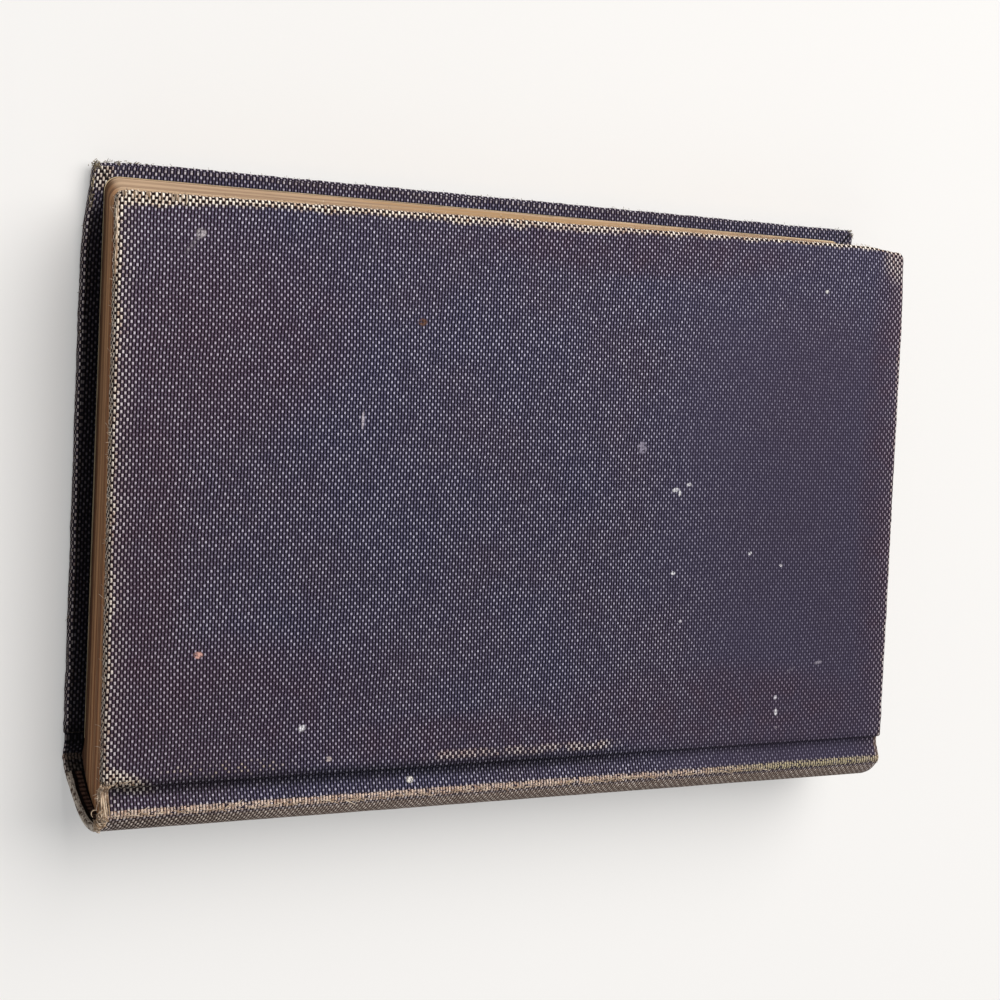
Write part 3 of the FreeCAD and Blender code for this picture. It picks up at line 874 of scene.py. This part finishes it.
class Finish:
    """One material, with a Principled surface whose sockets the patterns feed."""

    def __init__(self, name, roughness=0.85, **steady):
        self.material = bpy.data.materials.new(name)
        self.material.use_nodes = True
        self.tree = self.material.node_tree
        self.tree.nodes.clear()
        self.surface = self.tree.nodes.new("ShaderNodeBsdfPrincipled")
        output = self.tree.nodes.new("ShaderNodeOutputMaterial")
        self.tree.links.new(self.surface.outputs[0], output.inputs["Surface"])
        self.surface.inputs["Roughness"].default_value = roughness
        for key, value in steady.items():
            self.surface.inputs[key.replace("_", " ")].default_value = value

    def node(self, kind, settings=(), values=(), output=None):
        """Adds a node: settings first, then its sockets by name or number, and gives one output."""
        node = self.tree.nodes.new(kind)
        for key, value in dict(settings).items():
            setattr(node, key, value)
        for key, value in dict(values).items():
            socket = (node.inputs[key] if isinstance(key, int)
                      else next(s for s in node.inputs if s.name == key and s.enabled))
            self.feed(socket, value)
        outputs = [s for s in node.outputs if s.enabled]
        return Value(self, next(s for s in outputs if output in (None, s.name)))

    def feed(self, socket, value):
        """Links a value or sets a steady one. Three numbers are a colour as read off a screen."""
        if isinstance(value, Value):
            self.tree.links.new(value.socket, socket)
        elif isinstance(value, tuple) and len(value) == 3:
            socket.default_value = linear(*value)
        else:
            socket.default_value = value

    def mix(self, share, first, second, blend="MIX"):
        return self.node("ShaderNodeMix", {"data_type": "RGBA", "blend_type": blend},
                         {"Factor": share, "A": first, "B": second}, "Result")

    def shaded(self, colour, shade):
        """A colour times a number."""
        return self.mix(1.0, colour, self.join(shade, shade, shade), "MULTIPLY")

    def place(self):
        """Object coordinates, in metres."""
        return self.node("ShaderNodeTexCoord", output="Object")

    def threads(self):
        """The weave map: millimetres along the two sets of threads."""
        return self.split(self.node("ShaderNodeUVMap", {"uv_map": "weave"}))

    def split(self, vector):
        return [self.node("ShaderNodeSeparateXYZ", (), {"Vector": vector}, axis) for axis in "XYZ"]

    def join(self, x, y, z=0.0):
        return self.node("ShaderNodeCombineXYZ", (), {"X": x, "Y": y, "Z": z})

    def attribute(self, name):
        return self.node("ShaderNodeAttribute", {"attribute_name": name}, (), "Fac")

    def noise(self, vector, scale, detail=3.0, rough=0.5):
        return self.node("ShaderNodeTexNoise", (), {
            "Vector": vector, "Scale": scale, "Detail": detail, "Roughness": rough}, "Fac")

    def dice(self, x, y):
        """One random number for each whole pair of numbers."""
        return self.node("ShaderNodeTexWhiteNoise", {"noise_dimensions": "2D"},
                         {"Vector": self.join(x, y)}, "Value")

    def finish(self, colour, rough=None, height=None, relief=0.0001):
        self.feed(self.surface.inputs["Base Color"], colour)
        if rough is not None:
            self.feed(self.surface.inputs["Roughness"], rough)
        if height is not None:
            bump = self.node("ShaderNodeBump", (),
                             {"Height": height, "Distance": relief, "Strength": 1.0})
            self.feed(self.surface.inputs["Normal"], bump)
        print("finish", self.material.name, "nodes", len(self.tree.nodes))
        return self.material


# %% [markdown]
# ## Canvas
# The cloth is a coarse plain weave of thick threads. The threads that run across the
# book have lost their dye where they come to the surface and show as pale dots, set like
# the spots of a five on a die. The others keep their blue-black. With a and b counting
# threads, the sign of cos(pi a) says which way round a column of threads goes, and its
# product with cos(pi b) is high where the pale thread is on top.

# %% Weave
THREAD_X, THREAD_Y = 0.675, 0.722
THREAD_SKEW = 0.013


def canvas_cloth(name):
    """A finish that knows its threads, its distances from the edges and three sizes of cloud."""
    cloth = Finish(name, roughness=0.95, Specular_IOR_Level=0.15)
    cloth.u, cloth.v, _ = cloth.threads()
    cloth.way = cloth.v.size()
    cloth.inside, cloth.side_gap, cloth.fore_gap = (
        cloth.attribute(key) for key in ("inside", "side_gap", "fore_gap"))
    flat = cloth.join(cloth.u, cloth.v)
    cloth.broad = cloth.noise(flat, 0.035, 3.0)
    cloth.patch = cloth.noise(flat, 0.22, 2.0)
    cloth.fine = cloth.noise(flat, 1.5, 3.0, 0.65)

    # How far the pale thread is on top, how near each thread's middle, and a number for each dot
    wobble = cloth.noise(flat, 0.05, 2.0) - 0.5
    a = (cloth.u - cloth.v * THREAD_SKEW + wobble * 1.2) * (1 / THREAD_X)
    b = (cloth.v + wobble * 0.9) * (1 / THREAD_Y)
    cos_a, cos_b = (a * math.pi).cosine(), (b * math.pi).cosine()
    column = cos_a.sign()
    cloth.over = column * cos_b
    cloth.body, cloth.across = cos_a.size(), cos_b.size()
    cloth.dot = cloth.dice((a + 0.5).floor(), ((b + column * 0.5 + 0.5) * 0.5).floor())
    return cloth


def spot(cloth, x, y, long, wide, angle, soft=0.6):
    """1 inside an oval of half lengths long and wide, turned by an angle, falling off outside it."""
    cos, sin = math.cos(math.radians(angle)), math.sin(math.radians(angle))
    du, dv = cloth.u - x, cloth.v - y
    p = (du * cos + dv * sin) * (1 / long)
    q = (dv * cos - du * sin) * (1 / wide)
    return 1 - (p * p + q * q).between(1 - soft, 1 + soft)


# %% [markdown]
# The front cover has its own history: a few stains, scuffs and specks. They are a short
# list of ovals, in millimetres from the middle of the cover. The line of the cloth is
# counted from the middle of the spine, so the list is moved by the difference.

# %% Marks
board_shift = float(run_length(cloth_lines(0.0)[0])[-1]) - fore_inset
ridge_run = spine_radius * ridge_angle
board_run = board_shift - half_width
STAINS = [  # x, y, half lengths, turn
    (-70.0, 30.0, 24, 18, 20), (-68.0, -44.0, 30, 13, 4), (93.0, 0.0, 7, 60, 0), (52.0, -49.0, 40, 9, -3),
    (-88.0, -10.0, 7, 40, 0), (-18.0, -52.0, 40, 5, 0), (20.0, 53.0, 40, 5, 0),
]
SCUFFS = [  # x, y, half lengths, turn, colour
    (-79.8, 48.4, 2.6, 0.6, 52, (150, 142, 150)), (-78.2, 50.6, 1.0, 0.9, 20, (176, 168, 172)),
    (-29.9, 35.4, 1.0, 0.7, 0, (104, 74, 60)), (-42.6, 15.0, 0.3, 1.8, 0, (180, 172, 182)),
    (24.6, 10.2, 1.1, 1.3, 20, (140, 134, 150)), (33.7, 1.0, 0.8, 0.45, 10, (228, 226, 230)),
    (34.9, 0.2, 0.35, 0.7, 0, (214, 212, 216)), (37.3, 2.2, 0.7, 0.35, 0, (205, 202, 208)),
    (54.6, -13.4, 0.5, 0.4, 0, (220, 218, 222)), (72.6, 46.7, 0.5, 0.4, 0, (225, 222, 220)),
    (34.0, -17.6, 0.55, 0.4, 0, (220, 218, 222)), (36.5, -28.5, 0.4, 0.35, 0, (196, 192, 200)),
    (63.3, -16.3, 0.4, 0.35, 0, (206, 202, 208)),
    (-76.4, -32.1, 0.9, 0.7, 0, (206, 158, 146)), (-53.8, -47.9, 0.8, 0.6, 30, (235, 232, 236)),
    (-28.6, -61.4, 0.8, 0.7, 0, (236, 230, 222)), (63.6, -46.9, 0.4, 0.5, 0, (206, 202, 210)),
    (63.9, -50.4, 0.4, 0.8, 0, (220, 216, 222)), (64.2, -54.0, 0.3, 0.3, 0, (160, 150, 158)),
    (67.4, -40.7, 1.5, 0.35, 30, (140, 134, 146)), (75.3, -39.2, 1.1, 0.4, 12, (134, 128, 140)),
    (-47.8, -54.6, 0.7, 0.5, 0, (186, 172, 168)),
]
print("board shift", round(board_shift, 2), "mm, ridge at", round(ridge_run, 2))


# %% [markdown]
# How far each place is rubbed comes next: the rims, the board's edge above the groove and
# the ridge. Noise makes every border ragged, or it would look drawn with a ruler.


# %% Wear
def wear(cloth, head_rub, tail_rub, fore_rub, marks):
    """How far each place is rubbed, how far it is the ridge's crest, and where the spine is."""
    u, v, way, patch, fine = cloth.u, cloth.v, cloth.way, cloth.patch, cloth.fine
    ragged = (fine - 0.5) * 1.8 + (patch - 0.5) * 2.2
    rim = cloth.side_gap + ragged
    side = rim.fades(0.3, 1.9).larger(rim.between(1.0, 6.0, 0.34, 0.0))
    side = side * u.between(-20, 20, head_rub, tail_rub)
    fore = cloth.fore_gap + ragged - u.between(-92, -70, 1.5, 0.3) + u.between(0, 60, 0.0, 0.9)
    rub = side.larger(fore.between(0.6, 2.0, fore_rub, 0.0))
    spine = way.fades(ridge_run - 1.9, ridge_run - 0.3)
    crest = 1 - (way - ridge_run - 0.1).size().between(0.5, 1.45)
    gaps = cloth.noise(cloth.join(u * 0.9, v * 2.6), 1.0, 2.0, 0.6).between(0.36, 0.5, 0.3, 1.0)
    crest = crest * gaps * (patch + (fine - 0.5) * 0.6).between(0.12, 0.46)
    crest = crest * u.between(-95, 60, 1.2, 1.0)
    rub = rub.larger(crest)
    if marks:
        board_edge = 1 - (way - board_run - 2.5).size().between(0.5, 1.5)
        streak = board_edge * (1 - ((u + 2) * (1 / 26)).size().between(0.75, 1.0))
        streak = streak * patch.between(0.3, 0.6) * 0.7
        foot = spot(cloth, -93.0, board_run + 1.4, 8.5, 2.6, -20, 0.8)
        tail_corner = spot(cloth, 94.0, board_shift + 56.0, 5.0, 6.0, 0, 0.9) * 0.7
        rub = rub.larger(streak).larger(foot).larger(tail_corner)
    else:
        rub = rub.larger(spot(cloth, -93.4, board_shift + 56.0, 3.2, 4.0, 0, 0.8) * 0.9)
    return rub, crest, spine


# %% [markdown]
# Two colours make the canvas: the top of the pale thread, and the ground of dark thread
# between. The dye is bluer in the middle and has gone purple towards the head. Rubbed
# cloth is cream, the ridge pinker, and the spine has faded to a grey brown.


# %% Dye
def dyed(cloth, rub, crest, spine, marks):
    """The top, the ground, and how deep in the ground each place is."""
    u, dot, fine, mix = cloth.u, cloth.dot, cloth.fine, cloth.mix
    hole = cloth.body.fades(0.42, 0.90) * cloth.across.between(0.0, 0.75)
    vein = cloth.body.between(0.66, 1.0)
    cool = cloth.broad.between(0.25, 0.65, 0.3, 1.0)
    if marks:
        cool = cool * (u + (cloth.patch - 0.5) * 30).between(-88, -52)
    ground = mix(cool, mix(hole, (46, 35, 48), (4, 1, 4)), mix(hole, (36, 33, 52), (2, 2, 6)))
    ground = mix(vein * 0.6, ground, mix(cool, (104, 91, 111), (88, 84, 110)))
    tip = mix(dot, (138, 131, 149), (194, 187, 202))
    tip = mix(cool * 0.5, tip, mix(dot, (128, 128, 155), (178, 178, 204)))
    cream = mix((fine + dot * 0.3).between(0.42, 0.75), (194, 168, 148), (242, 230, 216))
    pink = mix(fine.between(0.35, 0.65), (126, 90, 78), (226, 192, 170))
    tip = mix(rub, tip, mix(crest.between(0.2, 0.9) * 0.65, cream, pink))
    ground = mix(rub, ground, (30, 17, 16))
    tip = mix(spine * (1 - rub), tip, mix(dot, (168, 152, 141), (234, 218, 206)))
    worn_ground = mix(hole, (146, 124, 112), (12, 6, 5))
    worn_ground = mix(u.between(-92, -40, 0.6, 0.0), worn_ground, (26, 16, 14))
    return tip, mix(spine * 0.9, ground, worn_ground), hole


# %% [markdown]
# Only the front has the stains of the list. Its tail half is plainer, with less between
# top and ground, and a little gilt dust is left near the groove.


# %% Stains
def stained(cloth, tip, ground, hole, rub, crest, spine):
    u, broad, patch, mix = cloth.u, cloth.broad, cloth.patch, cloth.mix
    far = (u + (broad - 0.5) * 50 + (patch - 0.5) * 20).between(14, 62)
    far = far * (cloth.v - board_shift).between(28, 50, 1.0, 0.45) * (1 - spine)
    tip = mix(far * (1 - rub) * 0.85, tip, (104, 98, 118))
    ground = mix(far * (1 - rub) * 0.72, ground, (60, 54, 72))
    tip = mix(crest * u.between(35, 70), tip, mix(cloth.fine, (140, 126, 100), (206, 194, 160)))
    stain = None
    for x, y, long, wide, angle in STAINS:
        here = spot(cloth, x, y + board_shift, long, wide, angle, 0.95)
        stain = here if stain is None else stain.larger(here)
    stain = stain * (broad + patch * 0.6).between(0.4, 1.1)
    tip = mix(stain * 0.5, tip, (160, 138, 150))
    ground = mix(stain * 0.6, ground, mix(hole, (60, 38, 50), (16, 5, 10)))
    gilt = spot(cloth, -70, board_shift - 55.2, 13, 1.6, 0, 0.9) * cloth.dot.between(0.35, 0.9)
    return mix(gilt * 0.6, tip, (188, 168, 132)), ground


# %% [markdown]
# At the head two cut ends show. Beside the groove the cloth ends in a band of loose tan
# threads. At the spine there is a pale worn roll, then the fold with the ribbed inside, and
# painted shadow lies as near-black bands either side of the ribs.


# %% Cut ends
def cut_ends(cloth, colour, spine):
    u, v, way, side_gap, mix = cloth.u, cloth.v, cloth.way, cloth.side_gap, cloth.mix
    patch, fine = cloth.patch, cloth.fine
    band = way.fades(board_run + 0.2, board_run + 1.6) * way.between(ridge_run - 1.2, ridge_run - 0.4)
    band = band * (side_gap + (patch - 0.5) * 1.2).fades(0.9, 1.4) * u.between(-20, 20, 1.0, 0.3)
    strand = cloth.noise(cloth.join(u * 4.0, v * 0.4), 1.0, 2.0)
    colour = mix(band * 0.9, colour, mix(strand.between(0.38, 0.60), (98, 68, 46), (204, 180, 154)))

    end = spine * cloth.inside.between(0.05, 0.2) * side_gap.fades(3.4, 4.4) * u.fades(-80, -70)
    ribs = (v * 6.3 + (fine - 0.5) * 3.0).cosine() * 0.5 + 0.5
    fold = mix(ribs, (46, 26, 20), (120, 92, 80))
    edge = side_gap + (patch - 0.5) * 0.6
    # Painted shadow: near-black bands behind the roll and past the ribs
    fold = mix(edge.fades(1.7, 2.0).larger(edge.between(2.9, 3.2)), fold, (16, 7, 6))
    roll = mix((fine + cloth.dot * 0.3).between(0.45, 0.72), (96, 76, 64), (226, 214, 200))
    return mix(end, colour, mix(edge.fades(0.85, 1.15), fold, roll))


# %% [markdown]
# Now all of it meets. The pale thread stands in domes that swell where the cloth is
# rubbed. Painted shade darkens the grooves and the mitre at each corner, painted light
# makes the cloth lighter towards the fore-edge, the inside is darker, and on the back a
# painted shadow darkens the inside margin at the head.


# %% Canvas of the two covers
def canvas(name, head_rub, tail_rub, fore_rub, marks):
    cloth = canvas_cloth(name)
    u, way, inside, fine = cloth.u, cloth.way, cloth.inside, cloth.fine
    over, body, across = cloth.over, cloth.body, cloth.across
    rub, crest, spine = wear(cloth, head_rub, tail_rub, fore_rub, marks)
    lift = (cloth.broad - 0.5) * 0.4 + (cloth.dot - 0.5) * 0.2 + (fine - 0.5) * rub * 0.9
    bare = crest.between(0.55, 1.05).larger(spine * 0.8)
    pale = (over + lift + rub * 0.95 + bare).between(0.32, 1.0)
    pale = pale * (body + rub * 0.12).between(0.36, 0.90)

    tip, ground, hole = dyed(cloth, rub, crest, spine, marks)
    if marks:
        tip, ground = stained(cloth, tip, ground, hole, rub, crest, spine)
    colour = cloth.mix(pale, ground, tip)
    if marks:
        colour = cut_ends(cloth, colour, spine)

    # Painted shadow along the groove beside the board, full at the head half and weaker towards the tail
    groove_shadow = way.between(ridge_run + 2.8, ridge_run + 4.6) * way.fades(board_run + 0.6, board_run + 2.4)
    groove_shadow = groove_shadow * u.between(0, 50, 1.0, 0.25)
    # Fine noise varies the tone, painted light makes the cloth lighter towards the fore-edge, and the
    # inside is darker
    shade = ((fine - 0.5) * 0.35 + 1.0) * (cloth.v - board_shift).between(-25, 60, 0.95, 1.16)
    shade = shade * (1 - groove_shadow * 0.52) * inside.between(0.6, 1.0, 1.0, 0.8)
    # Painted shade along the mitre, where the turned-in cloth meets at each corner
    mitre_shade = 1 - (cloth.side_gap - cloth.fore_gap).size().between(0.15, 0.55)
    shade = shade * (1 - mitre_shade * inside.between(0.9, 1.0) * 0.8)
    # Painted shadow on the back cover's inside margin at the head, between the pages and the cover's edge
    if not marks:
        margin_shadow = inside.between(0.8, 1.0) * u.fades(-91, -88) * cloth.fore_gap.between(5.0, 12.0)
        shade = shade * (1 - margin_shadow * 0.75)
    colour = cloth.shaded(colour, shade)
    if marks:
        for x, y, long, wide, angle, paint in SCUFFS:
            here = spot(cloth, x, y + board_shift, long, wide, angle)
            here = here * (fine + pale * 0.25).between(0.35, 0.6)
            if long > 1.2:
                here = here * (pale * 0.75 + 0.2)
            colour = cloth.mix(here, colour, paint)
    height = (over * 0.5 + 0.5) * body + across * (0.5 - over * 0.5) * 0.8 + fine * 0.2
    return cloth.finish(colour, height=height, relief=0.0002)


front_canvas = canvas("front_canvas", 1.0, 0.75, 1.0, True)
back_canvas = canvas("back_canvas", 0.5, 0.4, 0.25, False)
front_cloth.data.materials.append(front_canvas)
back_cloth.data.materials.append(back_canvas)

# %% [markdown]
# Loose threads have lost their dye: they go from raw cream to tan, one by one, with a
# little dirt along each.


# %% Raw thread
def raw_thread(name, light, dark, dirt):
    thread = Finish(name, roughness=0.9, Specular_IOR_Level=0.2)
    tone = thread.attribute("tone")
    grime = thread.noise(thread.place(), 900.0, 3.0)
    colour = thread.mix(tone, dark, light)
    colour = thread.mix(grime.between(0.42, 0.68) * 0.7, colour, dirt)
    return thread.finish(colour, height=grime, relief=0.00003)


front_frays.data.materials.append(
    raw_thread("raw_thread", (234, 216, 194), (164, 136, 108), (98, 72, 54)))
back_frays.data.materials.append(
    raw_thread("dull_thread", (176, 162, 134), (84, 70, 64), (40, 30, 30)))

# %% [markdown]
# ## Page edges
# Cut edges of toned paper: hundreds of fine lines, no two the same brown, with darker
# spots where thumbs and dust have been. The ends are browner, partly with dust and partly
# as painted shade, with painted shade on their lowest leaves and painted light on their top
# leaves near the fore-edge. The lines come from noise that is stretched along the leaf
# and squeezed across it.


# %% Page edges
def page_edges():
    paper = Finish("page_edges", roughness=0.75, Specular_IOR_Level=0.3)
    run, level, _ = paper.threads()
    _, place_y, _ = paper.split(paper.place())
    ends = paper.attribute("ends")
    lines = paper.noise(paper.join(run * 0.010, level * 3.0), 1.0, 4.0, 0.7)
    bands = paper.noise(paper.join(run * 0.006, level * 0.55), 1.0, 2.0)
    stripes = paper.noise(paper.join(run * 0.004 + 9, level * 0.95), 1.0, 2.0, 0.6)
    spots = paper.noise(paper.join(run * 0.3, level * 1.1), 1.0, 3.0, 0.7)
    light = (lines * 0.5 + stripes * 0.5).between(0.38, 0.60)
    light = paper.mix(light, (142, 114, 90), (200, 170, 140))
    light = paper.mix(bands.between(0.52, 0.60), light, (180, 144, 104))
    light = paper.mix(spots.between(0.62, 0.8) * 0.35, light, (136, 98, 70))
    # The ends are browner than the fore-edge, partly with dust and partly as painted shade
    brown = (lines * 0.4 + stripes * 0.6).between(0.38, 0.60)
    brown = paper.mix(brown, (98, 62, 42), (196, 148, 106))
    brown = paper.mix(bands.between(0.50, 0.60) * 0.8, brown, (150, 96, 60))
    brown = paper.mix(spots.between(0.58, 0.8) * 0.6, brown, (84, 54, 40))
    # Painted shade: the lowest leaves of the ends go dark brown over the back cover's margin
    brown = paper.mix(level.between(3.0, 8.0, 0.75, 0.0), brown, (60, 34, 24))
    # Painted light: the top leaves of the ends stay pale near the fore-edge corner
    near = place_y.between(0.036, 0.046) * level.between(10.0, 17.0)
    colour = paper.mix(ends * (1 - near * 0.75), light, brown)
    return paper.finish(colour, height=lines, relief=0.00015)


pages.data.materials.append(page_edges())

# %% [markdown]
# ## Endpapers, boards, gauze and brown paper
# The fly-leaves, the gauze and the linings keep their CAD shapes. They and the pieces
# made above show only when a cover is opened or from the ends, but each still gets the
# look of what it is: fibres and age spots for paper, flecks for board, a net for gauze.


# %% Finishes for the inner pieces
def old_paper(name, light, dark, foxed):
    paper = Finish(name, roughness=0.85, Specular_IOR_Level=0.3)
    place = paper.place()
    cloud = paper.noise(place, 22.0, 4.0, 0.6)
    fibre = paper.noise(place, 900.0, 4.0, 0.7)
    fox = paper.noise(place, 130.0, 2.0, 0.4)
    colour = paper.mix(cloud.between(0.3, 0.7), light, dark)
    colour = paper.mix(fox.between(0.66, 0.76) * 0.5, colour, foxed)
    colour = paper.shaded(colour, fibre.between(0.2, 0.8, 0.93, 1.04))
    return paper.finish(colour, height=cloud + fibre * 0.06, relief=0.0009)


def pressed_board():
    board = Finish("pressed_board", roughness=0.9, Specular_IOR_Level=0.2)
    place = board.place()
    fleck = board.noise(place, 700.0, 3.0, 0.8)
    cloud = board.noise(place, 60.0, 3.0)
    colour = board.mix(cloud.between(0.3, 0.7), (150, 132, 104), (120, 102, 78))
    colour = board.mix(fleck.between(0.6, 0.7), colour, (70, 56, 42))
    return board.finish(colour, height=fleck, relief=0.0001)


def open_gauze():
    net = Finish("open_gauze", roughness=0.9, Specular_IOR_Level=0.2)
    x, y, z = net.split(net.place())
    bars = ((x * 3000.0).cosine().size()).larger((y * 3000.0 + z * 3000.0).cosine().size())
    colour = net.mix(bars.between(0.6, 0.85), (120, 96, 66), (206, 192, 164))
    return net.finish(colour, height=bars, relief=0.00012)


endpaper = old_paper("endpaper", (222, 202, 166), (206, 182, 142), (150, 104, 62))
spine_paper = old_paper("spine_paper", (150, 112, 74), (122, 88, 56), (80, 54, 34))
millboard, gauze = pressed_board(), open_gauze()
for piece in papers:
    piece.data.materials.append(endpaper)
for piece in (front_board, back_board):
    piece.data.materials.append(millboard)
slot_finish = {"endpaper": endpaper, "spine_paper": spine_paper, "millboard": millboard, "gauze": gauze,
               "page_edges": pages.data.materials[0], "bookcloth": back_canvas}
for row in frame["record"]["subparts"]:
    node = frame["nodes"][row["node"]]
    for slot in node.material_slots:
        slot.material = slot_finish[row["material_slot"]]
    if not node.material_slots:
        node.data.materials.append(slot_finish[row["material_slot"]])

# %% [markdown]
# ## Floor and light
# A pale matt floor, a large soft lamp high to one side, a weak one on the side of the
# spine, and an even grey-white world. Together they come to a level at which a colour
# renders as written.

# %% Floor
floor_half, floor_drop, floor_lines = 3.0, -0.2, 9
side = np.linspace(-floor_half, floor_half, floor_lines) / MM
floor_x, floor_y = np.meshgrid(side, side)
floor_points = np.stack((floor_x, floor_y, np.full_like(floor_x, floor_drop)), -1).reshape(-1, 3)
floor = make_piece("floor", floor_points, grid_faces(floor_lines, floor_lines))
table = Finish("table", roughness=0.9, Specular_IOR_Level=0.1)
spot_x, spot_y, _ = table.split(table.place())
far = (spot_x * spot_x + spot_y * spot_y).between(0.12, 1.6)
grain = table.noise(table.place(), 3.0, 2.0)
seen = table.node("ShaderNodeLightPath", output="Is Camera Ray")
glow = table.mix(far, (0.29, 0.29, 0.287, 1), (0.90, 0.90, 0.893, 1))
table.feed(table.surface.inputs["Emission Color"], table.mix(seen, (0, 0, 0, 1), glow))
table.surface.inputs["Emission Strength"].default_value = 1.0
pale_floor = table.mix(grain, (200, 198, 196), (205, 203, 201))
pale_floor = table.mix(far, pale_floor, (0.0, 0.0, 0.0, 1))
floor.data.materials.append(table.finish(pale_floor, height=grain, relief=0.00001))

# %% Lamps and world
def area_lamp(name, place, aim, size, power, colour):
    data = bpy.data.lights.new(name, "AREA")
    data.shape, data.size, data.energy, data.color = "DISK", size, power, colour
    lamp = bpy.data.objects.new(name, data)
    lamp.location = place
    lamp.rotation_mode = "QUATERNION"
    lamp.rotation_quaternion = (Vector(aim) - Vector(place)).to_track_quat("-Z", "Y")
    bpy.context.scene.collection.objects.link(lamp)


area_lamp("window", (0.80, 0.99, 1.60), (0, 0, 0), 2.4, 57.0, (1.0, 0.985, 0.96))
area_lamp("room", (-0.2, -0.9, 0.9), (0, 0, 0), 0.9, 1.5, (0.94, 0.97, 1.0))

world = bpy.data.worlds.new("room_light")
bpy.context.scene.world = world
world.use_nodes = True
sky = world.node_tree.nodes["Background"]
seen = world.node_tree.nodes.new("ShaderNodeLightPath")
choice = world.node_tree.nodes.new("ShaderNodeMix")
choice.data_type = "RGBA"
dim, bright = [socket for socket in choice.inputs if socket.type == "RGBA"]
dim.default_value = (0.233, 0.235, 0.24, 1.0)
bright.default_value = (0.90, 0.90, 0.893, 1.0)
world.node_tree.links.new(seen.outputs["Is Camera Ray"], choice.inputs["Factor"])
world.node_tree.links.new(next(o for o in choice.outputs if o.type == "RGBA"), sky.inputs["Color"])
sky.inputs["Strength"].default_value = 1.0
